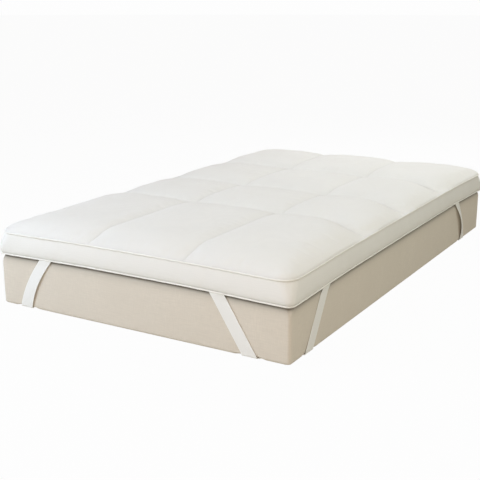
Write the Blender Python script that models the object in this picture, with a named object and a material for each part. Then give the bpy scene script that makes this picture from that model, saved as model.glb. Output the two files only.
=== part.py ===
"""Quilted mattress topper, held on a mattress by a strap at each corner.

Units are metres and +Z is up. The origin is the middle of the mattress's underside. X runs across
the bed and Y along it, with the foot end at -Y and the head end at +Y.
"""

import math

import bmesh
import bpy
from mathutils import Matrix, Vector

# The bed, and the small gap left between pieces that touch.
BED_WIDTH = 1.200
BED_LENGTH = 2.000
CONTACT_GAP = 0.0003

# Mattress: a plain block with soft edges, a little smaller than the topper that overhangs it.
MATTRESS_HEIGHT = 0.200
MATTRESS_INSET = 0.007
MATTRESS_CORNER_RADIUS = 0.012
MATTRESS_TOP_ROUND = 0.020
MATTRESS_BOTTOM_ROUND = 0.010
MATTRESS_CORNER_STEPS = 6
MATTRESS_TOP_STEPS = 5
MATTRESS_BOTTOM_STEPS = 3

# Topper: heights of its two seams along the middle of a side, and how far its corners sag.
BOTTOM_SEAM_Z = 0.198
TOP_SEAM_Z = 0.275
BOTTOM_SEAM_SAG = 0.0065
TOP_SEAM_SAG = 0.005
SAG_REACH = 0.45
TOP_CORNER_RADIUS = 0.060
BOTTOM_CORNER_RADIUS = 0.024
SIDE_PULL_IN = 0.003  # the sides are drawn in between the corners

# Quilting: two long seams and three cross seams part the top into twelve filled panels.
LONG_SEAMS_X = (-0.19, 0.20)
CROSS_SEAMS_Y = (-0.32, 0.08, 0.52)
ROW_CROWNS = (0.042, 0.035, 0.035, 0.040)  # from the foot: a longer panel stands higher
CROWN_WIDTH = 0.160  # the crown falls away to the border over this width
CORNER_FULLNESS = 3.0  # 1 leaves the corners of the crown slack, and more fills them
CROSS_SEAM_HEIGHT = 0.012
LONG_SEAM_DEPTH = 0.010
SEAM_WIDTH = 0.160
SEAM_SHOULDERS = (0.012, 0.040, 0.090, SEAM_WIDTH)
SEAM_DIVE = 2.0  # how much sooner a seam falls to the border than a panel does
PILLOW_POWER = 0.6  # 0.5 is a quarter circle, and more is softer
CROSS_SEAM_BEND = 0.100  # towards the foot, where a cross seam nears the +X side
CROSS_SEAM_BEND_START = 0.36

# Grid of the topper's surface.
CORNER_STEPS = 4
GRID_STEP = 0.090

# Pipings, each lying in a groove around the topper.
PIPING_RADIUS = 0.0024
PIPING_INSET = 0.0030
PIPING_SIDES = 6
GROOVE_INSET = 0.0036
GROOVE_SIZE = 0.0034

# Border band, from the top seam's groove down to the base.
# Columns: inset from the bed's outline, share of the way down the border, lift.
BORDER_RINGS = (
    (GROOVE_INSET + GROOVE_SIZE, 0.00, 0.0),
    (GROOVE_INSET, 0.00, -GROOVE_SIZE),
    (0.001, 0.27, 0.0),
    (0.000, 0.52, 0.0),
    (0.001, 0.77, 0.0),
    (GROOVE_INSET, 1.00, GROOVE_SIZE),
    (GROOVE_INSET + GROOVE_SIZE, 1.00, 0.0),
    (GROOVE_INSET + 0.001, 1.00, -GROOVE_SIZE),
)
# Base, where it tucks up over the mattress's rounded edge. Columns: inset, share of the fall left.
BASE_RINGS = ((0.010, 0.4), (0.018, 0.0))

# Straps: flat elastic webbing.
STRAP_WIDTH = 0.048
STRAP_THICKNESS = 0.0016
STRAP_CLEARANCE = 0.0005
STRAP_OFF_EDGE = STRAP_CLEARANCE - MATTRESS_INSET  # from the bed's outline out to a strap's back
STRAP_BEND_RADIUS = 0.005
STRAP_BEND_STEPS = 3
STRAP_LEG_SHARES = (1.0, 0.88, 0.66, 0.44, 0.22, 0.0)
STRAP_TUCK_SHARE = 0.88  # share of its height where a leg leaves the mattress's side for the seam
STRAP_RUN_SHARES = (0.25, 0.75)
# Columns: name, side of the bed, end of the bed, distances from the corner along the end face (at
# the seam, at the lower edge) and along the long side (at the seam, at the lower edge), bow
# towards the corner, and lift of the edge that is away from the corner, on the end face and on
# the long side.
STRAPS = (
    ("strap_foot_right", 1, -1, 0.268, 0.150, 0.252, 0.138, 0.000, 0.000, 0.000),
    ("strap_foot_left", -1, -1, 0.222, 0.120, 0.222, 0.120, 0.014, 0.004, 0.004),
    ("strap_head_right", 1, 1, 0.370, 0.262, 0.370, 0.262, 0.020, 0.004, 0.014),
    ("strap_head_left", -1, 1, 0.370, 0.262, 0.370, 0.262, 0.020, 0.004, 0.014),
)

# Channel that each strap presses into the mattress's underside.
CHANNEL_MARGIN = 0.003
CHANNEL_TOP = STRAP_CLEARANCE + STRAP_THICKNESS + 0.001
CHANNEL_OVERRUN = 0.040

HALF_X = BED_WIDTH / 2
HALF_Y = BED_LENGTH / 2
BASE_Z = MATTRESS_HEIGHT + CONTACT_GAP


def clear_scene():
    for thing in list(bpy.data.objects):
        bpy.data.objects.remove(thing, do_unlink=True)


def fabric(name, colour, roughness):
    material = bpy.data.materials.new(name)
    material.use_nodes = True
    shader = material.node_tree.nodes["Principled BSDF"]
    shader.inputs["Base Color"].default_value = (*colour, 1.0)
    shader.inputs["Roughness"].default_value = roughness
    shader.inputs["Metallic"].default_value = 0.0
    return material


def add_object(name, shape, material, sharp_angle=45.0):
    bmesh.ops.recalc_face_normals(shape, faces=shape.faces)
    mesh = bpy.data.meshes.new(name)
    shape.to_mesh(mesh)
    shape.free()
    mesh.materials.append(material)
    mesh.shade_smooth()
    mesh.set_sharp_from_angle(angle=math.radians(sharp_angle))
    thing = bpy.data.objects.new(name, mesh)
    bpy.context.scene.collection.objects.link(thing)
    return thing


def bridge(shape, upper, lower):
    """Joins two closed rings of the same number of vertices with a band of quads."""
    count = len(upper)
    for i in range(count):
        j = (i + 1) % count
        shape.faces.new((upper[i], lower[i], lower[j], upper[j]))


def smoothstep(share):
    share = min(max(share, 0.0), 1.0)
    return share * share * (3.0 - 2.0 * share)


def pillow(share):
    """Height of a filled panel, from 0 at its seam to 1 where its shoulder ends."""
    share = min(max(share, 0.0), 1.0)
    return (1.0 - (1.0 - share) ** 2) ** PILLOW_POWER


# Outline of the topper.


def corner_share(value, half):
    """Place in the corner zone along one axis: 0 where the zone starts, 1 at the border."""
    return (abs(value) - (half - TOP_CORNER_RADIUS)) / TOP_CORNER_RADIUS


def cross_seam_shift(x, y):
    """Shift along Y that bends the cross seams towards the foot at the +X side."""
    across = smoothstep((x - CROSS_SEAM_BEND_START) / (HALF_X - CROSS_SEAM_BEND_START))
    from_foot = smoothstep((y + HALF_Y - TOP_CORNER_RADIUS) / (CROSS_SEAMS_Y[0] + HALF_Y))
    from_head = smoothstep((HALF_Y - TOP_CORNER_RADIUS - y) / (HALF_Y - CROSS_SEAMS_Y[-1]))
    return -CROSS_SEAM_BEND * across * from_foot * from_head


def side_pull(along):
    """Pull of a side towards the middle, at a place from -1 to 1 along it."""
    return SIDE_PULL_IN * (1.0 - along**2)


def on_plan(x, y, inset, radius):
    """Place of a grid point on the outline that lies inset inside the bed's, with round corners."""
    y += cross_seam_shift(x, y)
    share_x = corner_share(x, HALF_X)
    share_y = corner_share(y, HALF_Y)
    reach = 1.0
    if share_x > 0.0 and share_y > 0.0:
        reach = max(share_x, share_y) / math.hypot(share_x, share_y)
    if share_x >= 0.0:
        x = math.copysign(HALF_X - inset - radius + share_x * reach * radius, x)
    if share_y >= 0.0:
        y = math.copysign(HALF_Y - inset - radius + share_y * reach * radius, y)
    pull_x = side_pull(y / HALF_Y) * (x / HALF_X) ** 4
    pull_y = side_pull(x / HALF_X) * (y / HALF_Y) ** 4
    return x - math.copysign(pull_x, x), y - math.copysign(pull_y, y)


def corner_nearness(x, y):
    """1 at the topper's corners, 0 from SAG_REACH along a side."""
    distance = max(HALF_X - abs(x), HALF_Y - abs(y))
    return 1.0 - smoothstep(distance / SAG_REACH)


def top_seam_z(x, y):
    return TOP_SEAM_Z - TOP_SEAM_SAG * corner_nearness(x, y)


def bottom_seam_z(x, y):
    return BOTTOM_SEAM_Z - BOTTOM_SEAM_SAG * corner_nearness(x, y)


# Quilted top.


def seam_closeness(distance):
    """1 on a seam, 0 where the panel's shoulder ends."""
    return 1.0 - pillow(distance / SEAM_WIDTH)


def rise_from_border(x, y):
    """Rise of the crown from the border seam: 0 on the seam, 1 from CROWN_WIDTH inwards."""
    across = max(pillow((HALF_X - abs(x)) / CROWN_WIDTH), 1e-6) ** -CORNER_FULLNESS
    along = max(pillow((HALF_Y - abs(y)) / CROWN_WIDTH), 1e-6) ** -CORNER_FULLNESS
    return (across + along - 1.0) ** (-1.0 / CORNER_FULLNESS)


def row_crown(y):
    """Full height of the panels in the row that holds y."""
    return ROW_CROWNS[sum(y > seam for seam in CROSS_SEAMS_Y)]


def crown_height(x, y):
    """Height of the quilted top over its border seam, from the grid's own coordinates."""
    long_seam = seam_closeness(min(abs(x - seam) for seam in LONG_SEAMS_X))
    cross_seam = seam_closeness(min(abs(y - seam) for seam in CROSS_SEAMS_Y))
    dive = 1.0 + SEAM_DIVE * max(long_seam, cross_seam)
    crown = row_crown(y)
    filled = crown - (crown - CROSS_SEAM_HEIGHT) * cross_seam - LONG_SEAM_DEPTH * long_seam
    return filled * rise_from_border(x, y) ** dive


def grid_lines(half, seams):
    """Grid lines along one axis: close at the seams and the corners, even between them."""
    lines = set()
    for step in range(CORNER_STEPS + 1):
        angle = math.radians(45) * step / CORNER_STEPS
        line = half - TOP_CORNER_RADIUS * (1.0 - math.tan(angle))
        lines |= {line, -line}
    for seam in seams:
        for shoulder in (0.0, *SEAM_SHOULDERS):
            lines |= {seam + shoulder, seam - shoulder}
    fixed = sorted(lines)
    spread = [fixed[0]]
    for low, high in zip(fixed, fixed[1:]):
        parts = math.ceil((high - low) / GRID_STEP)
        spread += [low + (high - low) * part / parts for part in range(1, parts + 1)]
    return spread


def border_stations(lines_x, lines_y):
    """Grid points of the border, anticlockwise from above, starting at the left foot corner."""
    foot = [(x, -HALF_Y) for x in lines_x[:-1]]
    right = [(HALF_X, y) for y in lines_y[:-1]]
    head = [(x, HALF_Y) for x in reversed(lines_x[1:])]
    left = [(-HALF_X, y) for y in reversed(lines_y[1:])]
    return foot + right + head + left


def top_grid(shape, lines_x, lines_y):
    """Adds the quilted surface and returns its border vertices in the order of the stations."""
    grid = {}
    for x in lines_x:
        for y in lines_y:
            plan_x, plan_y = on_plan(x, y, GROOVE_INSET, TOP_CORNER_RADIUS)
            z = top_seam_z(plan_x, plan_y) + GROOVE_SIZE + crown_height(x, y)
            grid[x, y] = shape.verts.new((plan_x, plan_y, z))
    for x, next_x in zip(lines_x, lines_x[1:]):
        for y, next_y in zip(lines_y, lines_y[1:]):
            shape.faces.new((grid[x, y], grid[next_x, y], grid[next_x, next_y], grid[x, next_y]))
    return [grid[station] for station in border_stations(lines_x, lines_y)]


def border_ring(shape, stations, inset, share, lift):
    """Adds one ring of the border band, at a share of the way from the top to the bottom seam."""
    radius = TOP_CORNER_RADIUS + (BOTTOM_CORNER_RADIUS - TOP_CORNER_RADIUS) * share
    ring = []
    for station in stations:
        x, y = on_plan(*station, inset, radius)
        z = top_seam_z(x, y) * (1.0 - share) + bottom_seam_z(x, y) * share + lift
        ring.append(shape.verts.new((x, y, z)))
    return ring


def base_ring(shape, stations, inset, fall):
    """Adds one ring of the base, with a share of the bottom seam's fall below the flat base."""
    ring = []
    for station in stations:
        x, y = on_plan(*station, inset, BOTTOM_CORNER_RADIUS)
        z = BASE_Z + (bottom_seam_z(x, y) - GROOVE_SIZE - BASE_Z) * fall
        ring.append(shape.verts.new((x, y, z)))
    return ring


def make_topper_pad(lines_x, lines_y, material):
    shape = bmesh.new()
    stations = border_stations(lines_x, lines_y)
    rings = [top_grid(shape, lines_x, lines_y)]
    for inset, share, lift in BORDER_RINGS:
        rings.append(border_ring(shape, stations, inset, share, lift))
    for inset, fall in BASE_RINGS:
        rings.append(base_ring(shape, stations, inset, fall))
    for upper, lower in zip(rings, rings[1:]):
        bridge(shape, upper, lower)
    shape.faces.new(list(reversed(rings[-1])))
    return add_object("topper_pad", shape, material, sharp_angle=60.0)


def make_piping(name, stations, seam_z, radius, material):
    """A thin round welt that follows a seam all the way round the topper."""
    places = [on_plan(*station, PIPING_INSET, radius) for station in stations]
    path = [Vector((x, y, seam_z(x, y))) for x, y in places]
    count = len(path)
    shape = bmesh.new()
    sections = []
    for i, centre in enumerate(path):
        along = path[(i + 1) % count] - path[i - 1]
        outward = Vector((along.y, -along.x, 0.0)).normalized()
        section = []
        for side in range(PIPING_SIDES):
            angle = math.tau * side / PIPING_SIDES
            offset = outward * math.cos(angle) + Vector((0.0, 0.0, math.sin(angle)))
            section.append(shape.verts.new(centre + offset * PIPING_RADIUS))
        sections.append(section)
    for i in range(count):
        bridge(shape, sections[i], sections[(i + 1) % count])
    return add_object(name, shape, material, sharp_angle=80.0)


# Mattress.


def mattress_profile():
    """Inset and height of the mattress's rings, from the top face down to the underside."""
    rings = []
    for step in range(MATTRESS_TOP_STEPS + 1):
        angle = math.radians(90) * step / MATTRESS_TOP_STEPS
        inset = MATTRESS_TOP_ROUND * (1.0 - math.sin(angle))
        rings.append((inset, MATTRESS_HEIGHT - MATTRESS_TOP_ROUND * (1.0 - math.cos(angle))))
    for step in range(MATTRESS_BOTTOM_STEPS + 1):
        angle = math.radians(90) * step / MATTRESS_BOTTOM_STEPS
        inset = MATTRESS_BOTTOM_ROUND * (1.0 - math.cos(angle))
        rings.append((inset, MATTRESS_BOTTOM_ROUND * (1.0 - math.sin(angle))))
    return rings


def rounded_outline(inset):
    """Outline of the mattress at an inset from its sides, anticlockwise from above."""
    radius = MATTRESS_CORNER_RADIUS + inset / 2
    off_edge = MATTRESS_INSET + inset + radius
    points = []
    for quarter, (sign_x, sign_y) in enumerate(((1, 1), (-1, 1), (-1, -1), (1, -1))):
        centre_x = sign_x * (HALF_X - off_edge)
        centre_y = sign_y * (HALF_Y - off_edge)
        for step in range(MATTRESS_CORNER_STEPS + 1):
            angle = math.radians(90) * (quarter + step / MATTRESS_CORNER_STEPS)
            points.append((centre_x + radius * math.cos(angle), centre_y + radius * math.sin(angle)))
    return points


def run_ends(sign_x, sign_y, end_bottom, side_bottom):
    """Middle of a strap where its run under the corner starts and ends."""
    inset = STRAP_BEND_RADIUS - STRAP_OFF_EDGE
    start = Vector((sign_x * (HALF_X - end_bottom), sign_y * (HALF_Y - inset), 0.0))
    end = Vector((sign_x * (HALF_X - inset), sign_y * (HALF_Y - side_bottom), 0.0))
    return start, end


def strap_channel(name, sign_x, sign_y, end_bottom, side_bottom):
    """Cutter for the shallow channel where a strap passes under a corner of the mattress."""
    start, end = run_ends(sign_x, sign_y, end_bottom, side_bottom)
    along = end - start
    length = along.length + 2 * CHANNEL_OVERRUN
    width = STRAP_WIDTH + 2 * CHANNEL_MARGIN
    size = Matrix.Diagonal((length, width, 2 * CHANNEL_TOP, 1.0))
    turn = Matrix.Rotation(math.atan2(along.y, along.x), 4, "Z")
    place = Matrix.Translation((start + end) / 2)
    mesh = bpy.data.meshes.new(name)
    shape = bmesh.new()
    bmesh.ops.create_cube(shape, size=1.0, matrix=place @ turn @ size)
    shape.to_mesh(mesh)
    shape.free()
    cutter = bpy.data.objects.new(name, mesh)
    bpy.context.scene.collection.objects.link(cutter)
    cutter.hide_render = True
    cutter.display_type = "WIRE"
    return cutter


def make_mattress(material):
    shape = bmesh.new()
    rings = []
    for inset, z in mattress_profile():
        rings.append([shape.verts.new((x, y, z)) for x, y in rounded_outline(inset)])
    for upper, lower in zip(rings, rings[1:]):
        bridge(shape, upper, lower)
    shape.faces.new(rings[0])
    shape.faces.new(list(reversed(rings[-1])))
    mattress = add_object("mattress", shape, material)
    for name, sign_x, sign_y, _, end_bottom, _, side_bottom, *_ in STRAPS:
        modifier = mattress.modifiers.new("channel for " + name, "BOOLEAN")
        modifier.operation = "DIFFERENCE"
        modifier.object = strap_channel("cutter_" + name, sign_x, sign_y, end_bottom, side_bottom)


# Straps. Each has two legs, one on each side of a corner, and a run under the corner. A leg is
# worked out in its own terms: reach is the distance from the bed's corner along its side, and out
# is the distance outward from the bed's outline.


def leg_point(sign_x, sign_y, on_end, reach, out, z):
    """World place of a leg's point, on the end face of the mattress or else on its long side."""
    if on_end:
        return Vector((sign_x * (HALF_X - reach), sign_y * (HALF_Y + out), z))
    return Vector((sign_x * (HALF_X + out), sign_y * (HALF_Y - reach), z))


def leg_rows(top_reach, bottom_reach, bow):
    """Rows of a leg from the seam down to the underside: reach of its middle, share of its
    height, angle round the lower edge."""
    rows = []
    for share in STRAP_LEG_SHARES:
        reach = bottom_reach + (top_reach - bottom_reach) * share - bow * 4 * share * (1 - share)
        rows.append((reach, share, 0.0))
    for step in range(1, STRAP_BEND_STEPS + 1):
        rows.append((bottom_reach, 0.0, math.radians(90) * step / STRAP_BEND_STEPS))
    return rows


def leg_section(sign_x, sign_y, on_end, row, half_cut, lift):
    """Corners of a leg's level cut: far outer, near outer, near inner, far inner, where far is
    away from the mattress's corner."""
    middle, share, bend = row
    bend_z = STRAP_CLEARANCE + STRAP_THICKNESS + STRAP_BEND_RADIUS
    tuck = max(share - STRAP_TUCK_SHARE, 0.0) / (1.0 - STRAP_TUCK_SHARE)
    corners = []
    for side, depth in ((1, 1), (-1, 1), (-1, 0), (1, 0)):
        reach = middle + side * half_cut
        at_seam = leg_point(sign_x, sign_y, on_end, reach, 0.0, 0.0)
        pull = side_pull(at_seam.x / HALF_X if on_end else at_seam.y / HALF_Y)
        top_z = bottom_seam_z(at_seam.x, at_seam.y) - PIPING_RADIUS - CONTACT_GAP
        arm = STRAP_BEND_RADIUS + depth * STRAP_THICKNESS
        out = STRAP_OFF_EDGE - STRAP_BEND_RADIUS + arm * math.cos(bend)
        out -= tuck * (STRAP_OFF_EDGE + PIPING_INSET + pull)
        out += lift * 4 * share * (1 - share) * (1 + side) / 2
        z = bend_z + (top_z - bend_z) * share - arm * math.sin(bend)
        corners.append(leg_point(sign_x, sign_y, on_end, reach, out, z))
    return corners


def leg_sections(sign_x, sign_y, on_end, top_reach, bottom_reach, bow, lift):
    slant = math.hypot(top_reach - bottom_reach, BOTTOM_SEAM_Z) / BOTTOM_SEAM_Z
    half_cut = STRAP_WIDTH / 2 * slant
    rows = leg_rows(top_reach, bottom_reach, bow)
    return [leg_section(sign_x, sign_y, on_end, row, half_cut, lift) for row in rows]


def run_sections(sign_x, sign_y, end_bottom, side_bottom):
    """Square cuts of the strap under the mattress's corner, in the order of a leg's corners."""
    start, end = run_ends(sign_x, sign_y, end_bottom, side_bottom)
    along = (end - start).normalized()
    away = Vector((-along.y, along.x, 0.0)) * (STRAP_WIDTH / 2)
    if away.dot(Vector((sign_x, sign_y, 0.0))) > 0.0:
        away.negate()
    outer = Vector((0.0, 0.0, STRAP_CLEARANCE))
    inner = Vector((0.0, 0.0, STRAP_CLEARANCE + STRAP_THICKNESS))
    sections = []
    for share in STRAP_RUN_SHARES:
        middle = start.lerp(end, share)
        near, far = middle - away, middle + away
        sections.append([far + outer, near + outer, near + inner, far + inner])
    return sections


def make_strap(strap, material):
    name, sign_x, sign_y, end_top, end_bottom, side_top, side_bottom, bow, *lifts = strap
    sections = leg_sections(sign_x, sign_y, True, end_top, end_bottom, bow, lifts[0])
    sections += run_sections(sign_x, sign_y, end_bottom, side_bottom)
    side = leg_sections(sign_x, sign_y, False, side_top, side_bottom, bow, lifts[1])
    sections += reversed(side)
    shape = bmesh.new()
    loops = [[shape.verts.new(corner) for corner in section] for section in sections]
    for upper, lower in zip(loops, loops[1:]):
        bridge(shape, upper, lower)
    shape.faces.new(loops[0])
    shape.faces.new(list(reversed(loops[-1])))
    return add_object(name, shape, material, sharp_angle=60.0)


def main():
    clear_scene()
    cotton = fabric("topper_cotton", (0.83, 0.82, 0.79), 0.85)
    welt = fabric("piping_cotton", (0.86, 0.85, 0.80), 0.80)
    elastic = fabric("strap_elastic", (0.80, 0.80, 0.79), 0.70)
    ticking = fabric("mattress_fabric", (0.71, 0.655, 0.57), 0.90)
    lines_x = grid_lines(HALF_X, LONG_SEAMS_X)
    lines_y = grid_lines(HALF_Y, CROSS_SEAMS_Y)
    piping_stations = border_stations(grid_lines(HALF_X, ()), grid_lines(HALF_Y, ()))
    make_mattress(ticking)
    make_topper_pad(lines_x, lines_y, cotton)
    make_piping("piping_top", piping_stations, top_seam_z, TOP_CORNER_RADIUS, welt)
    make_piping("piping_bottom", piping_stations, bottom_seam_z, BOTTOM_CORNER_RADIUS, welt)
    for strap in STRAPS:
        make_strap(strap, elastic)


main()
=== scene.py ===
"""Looks of a quilted mattress topper, held on a mattress by a strap at each corner.

Metres, +Z up, in the frame of the CAD model: the origin is the middle of the mattress's underside,
X runs across the bed and Y along it, with the foot end at -Y.
"""

import math

import bpy
import numpy as np
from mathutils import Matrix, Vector

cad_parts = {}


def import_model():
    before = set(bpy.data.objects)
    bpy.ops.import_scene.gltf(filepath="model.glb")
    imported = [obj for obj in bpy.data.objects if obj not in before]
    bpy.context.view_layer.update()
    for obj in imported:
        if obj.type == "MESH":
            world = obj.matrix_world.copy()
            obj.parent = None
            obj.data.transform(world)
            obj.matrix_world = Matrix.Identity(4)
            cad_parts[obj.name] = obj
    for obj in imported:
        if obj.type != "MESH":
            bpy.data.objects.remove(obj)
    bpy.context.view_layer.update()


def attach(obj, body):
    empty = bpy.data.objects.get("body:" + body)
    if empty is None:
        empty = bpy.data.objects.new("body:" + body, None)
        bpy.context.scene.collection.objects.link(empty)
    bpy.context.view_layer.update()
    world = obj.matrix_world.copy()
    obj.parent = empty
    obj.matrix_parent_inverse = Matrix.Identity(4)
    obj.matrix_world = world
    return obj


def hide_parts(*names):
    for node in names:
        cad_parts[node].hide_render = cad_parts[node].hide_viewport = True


# Sizes of the CAD model that the pieces here follow.
BED_WIDTH = 1.200
BED_LENGTH = 2.000
HALF_X = BED_WIDTH / 2
HALF_Y = BED_LENGTH / 2
CONTACT_GAP = 0.0003
MATTRESS_HEIGHT = 0.200
MATTRESS_INSET = 0.007  # the topper overhangs by this much
MATTRESS_CORNER_RADIUS = 0.012
MATTRESS_BOTTOM_ROUND = 0.010
BASE_Z = MATTRESS_HEIGHT + CONTACT_GAP
BOTTOM_SEAM_Z = 0.198
TOP_SEAM_Z = 0.275
BOTTOM_SEAM_SAG = 0.0065
TOP_SEAM_SAG = 0.005
SAG_REACH = 0.45
TOP_CORNER_RADIUS = 0.060
BOTTOM_CORNER_RADIUS = 0.024
SIDE_PULL_IN = 0.003
LONG_SEAMS_X = (-0.19, 0.20)
CROSS_SEAMS_Y = (-0.32, 0.08, 0.52)
ROW_CROWNS = (0.042, 0.035, 0.035, 0.040)
CROWN_WIDTH = 0.160
CORNER_FULLNESS = 3.0
CROSS_SEAM_HEIGHT = 0.012
LONG_SEAM_DEPTH = 0.010
SEAM_WIDTH = 0.160
SEAM_DIVE = 2.0
PLUMP_POWER = 0.6
CROSS_SEAM_BEND = 0.100
CROSS_SEAM_BEND_START = 0.36
PIPING_INSET = 0.0030
GROOVE_INSET = 0.0036
GROOVE_SIZE = 0.0034
STRAP_WIDTH = 0.048
STRAP_THICKNESS = 0.0016
STRAP_CLEARANCE = 0.0005
STRAP_BEND_RADIUS = 0.005
STRAP_TUCK_SHARE = 0.88
STRAP_OFF_EDGE = STRAP_CLEARANCE - MATTRESS_INSET  # from the bed's outline out to a strap's back
# Columns: name, signs of X and Y at its corner, distances from the corner along the end face (at
# the seam, at the lower edge) and along the long side (at the seam, at the lower edge), bow
# towards the corner, and lift of the edge that is away from the corner, on the end face and on
# the long side.
STRAPS = (
    ("foot_right", (1, -1), 0.268, 0.150, 0.252, 0.138, 0.000, 0.000, 0.000),
    ("foot_left", (-1, -1), 0.222, 0.120, 0.222, 0.120, 0.014, 0.004, 0.004),
    ("head_right", (1, 1), 0.370, 0.262, 0.370, 0.262, 0.020, 0.004, 0.014),
    ("head_left", (-1, 1), 0.370, 0.262, 0.370, 0.262, 0.020, 0.004, 0.014),
)

# Sizes of the pieces' own, finer than the CAD model's. An inset is measured from the bed's outline.
MATTRESS_TOP_ROUND = 0.026
BORDER_BULGE = 0.0058  # how far out the band is where it is fullest
BORDER_FULLEST = 0.667  # share of the band's height down to there
WELT_RADIUS = 0.0029
WELT_TOP_INSET = 0.0029
WELT_BOTTOM_INSET = 0.0012
ROLL_INSET = 0.0032  # the quilted top ends here, rolled onto the upper piping
ROLL_LIFT = 0.0028  # and this far over the seam
DITCH_INSET = 0.0042  # the band starts here, under the upper piping
DITCH_DROP = 0.0032  # and this far below the seam
BAND_END_INSET = 0.0014  # the band ends here, on the lower piping
# The base's edge, from the lower piping inwards. Columns: inset, share of the drop below the base.
BASE_TUCK = ((0.0046, 1.0), (0.010, 0.4), (0.018, 0.0))

# Grid of the topper's surface.
GRID_STEP = 0.0072
SEAM_LINES = (0.0012, 0.0030)
EDGE_LINES = (0.0010, 0.0026, 0.0046)
BORDER_ROWS = 16
PLAN_EASE = 0.150  # the grid eases into the rounded outline over this width

# Gathers that sewing leaves in the cloth beside a seam.
# Columns: wavelength, share of the height.
GATHER_WAVES = ((0.0213, 0.34), (0.0287, 0.30), (0.0391, 0.22), (0.0617, 0.14))
WAVE_SPREAD = 1.7  # sets their phases apart
GATHER_SIZE = 0.0007
GATHER_REACH = 0.018
GATHER_RISE = GATHER_REACH / 4  # they are full this far from the seam
GATHER_LEAN = 0.25  # along the seam, as a share of the distance from it
GATHER_LEAN_RATE = 23.0  # radians per metre along the seam by which it changes
# Turns in radians that give each seam gathers of its own.
LONG_SEAM_TURN = 1.0
CROSS_SEAM_TURN = 2.5
NEXT_SEAM_TURN = 2.0
SIDE_TURN = 4.0
END_TURN = 5.5
BAND_TOP_TURN = 7.0
BAND_BOTTOM_TURN = 8.3

# Slow unevenness of a filled surface. Columns: wavelength along X, along Y, turn, height.
FILL_WAVES = (
    (0.31, 0.47, 0.4, 0.0009),
    (0.22, 0.27, 1.9, 0.0006),
    (0.13, 0.17, 3.3, 0.0003),
)
# How those waves bend, along X and along Y. Columns: size in radians, radians per metre.
FILL_BENDS = ((1.3, 4.0), (1.1, 5.0))
CALM_WIDTH = 0.1  # the unevenness dies away over this width towards a seam
BAND_WAVE = 0.0011
BAND_WAVE_STRETCH = 4.0
BAND_WAVE_TURN = 9.1

# Shade that the cloth's material paints beside a seam.
SEAM_SHADE_REACH = 0.004
BORDER_SEAM_SHADE = 0.45

UP = np.array([0.0, 0.0, 1.0])
TINY = 1e-9  # keeps a division off zero
LEAST_RISE = 1e-6  # keeps a root off zero


def smoothstep(share):
    share = np.clip(share, 0.0, 1.0)
    return share * share * (3.0 - 2.0 * share)


def belly(share):
    """Bulge of the border band, which sags towards its lower seam."""
    return share * math.sqrt(1.0 - share)


def plump(share):
    """Rise of a filled field from its seam, at 0, to its crown, at 1."""
    share = np.clip(share, 0.0, 1.0)
    return (1.0 - (1.0 - share) ** 2) ** PLUMP_POWER


def waves(along, turn):
    """A repeatable uneven wave between about -1 and 1."""
    total = np.zeros_like(along)
    for i, (length, share) in enumerate(GATHER_WAVES):
        total += share * np.sin(math.tau * along / length + turn * (i + WAVE_SPREAD) + i * i)
    return total


def gathers(distance, along, turn):
    """Gathers beside a seam: none on it, highest a few millimetres off, then dying away."""
    fade = np.exp(-distance / GATHER_REACH) * (1.0 - np.exp(-distance / GATHER_RISE))
    slant = along + GATHER_LEAN * distance * np.sin(along * GATHER_LEAN_RATE + turn)
    return waves(slant, turn) * fade


def path_length(path):
    """Length along a path of points, up to each of them."""
    steps = np.linalg.norm(np.diff(path, axis=0), axis=1)
    return np.concatenate([[0.0], np.cumsum(steps)])


def loop_length(loop):
    """Length along a closed loop of points, up to each of them."""
    steps = np.linalg.norm(np.roll(loop, -1, axis=0) - loop, axis=1)
    return np.cumsum(steps) - steps


def add_object(name, data):
    thing = bpy.data.objects.new(name, data)
    bpy.context.scene.collection.objects.link(thing)
    return thing


def add_mesh(name, points, faces, material, smooth_angle=60.0):
    mesh = bpy.data.meshes.new(name)
    mesh.from_pydata(np.asarray(points).tolist(), [], faces)
    mesh.materials.append(material)
    mesh.shade_smooth()
    mesh.set_sharp_from_angle(angle=math.radians(smooth_angle))
    mesh.update()
    return add_object(name, mesh)


def add_point_value(thing, name, values):
    attribute = thing.data.attributes.new(name, "FLOAT", "POINT")
    attribute.data.foreach_set("value", np.asarray(values, np.float32).ravel())


def tube_faces(rings):
    """Quads between each closed ring of vertex numbers and the next, in order from the top."""
    faces = []
    for upper, lower in zip(rings, rings[1:]):
        quads = np.stack([upper, lower, np.roll(lower, -1), np.roll(upper, -1)], axis=1)
        faces += quads.tolist()
    return faces


def grid_faces(numbers, upward=True):
    """Quads of a grid of vertex numbers with X along the first axis and Y along the second."""
    quads = [numbers[:-1, :-1], numbers[1:, :-1], numbers[1:, 1:], numbers[:-1, 1:]]
    if not upward:
        quads.reverse()
    return np.stack(quads, axis=-1).reshape(-1, 4).tolist()


def rim(grid):
    """Values round the edge of a grid, anticlockwise from above, from the left foot corner."""
    return np.concatenate([grid[:-1, 0], grid[-1, :-1], grid[:0:-1, -1], grid[0, :0:-1]])


# Outline of the topper.


def cross_seam_shift(x, y):
    across = smoothstep((x - CROSS_SEAM_BEND_START) / (HALF_X - CROSS_SEAM_BEND_START))
    from_foot = smoothstep((y + HALF_Y - TOP_CORNER_RADIUS) / (CROSS_SEAMS_Y[0] + HALF_Y))
    from_head = smoothstep((HALF_Y - TOP_CORNER_RADIUS - y) / (HALF_Y - CROSS_SEAMS_Y[-1]))
    return -CROSS_SEAM_BEND * across * from_foot * from_head


def side_pull(along):
    return SIDE_PULL_IN * (1.0 - along**2)


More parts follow.
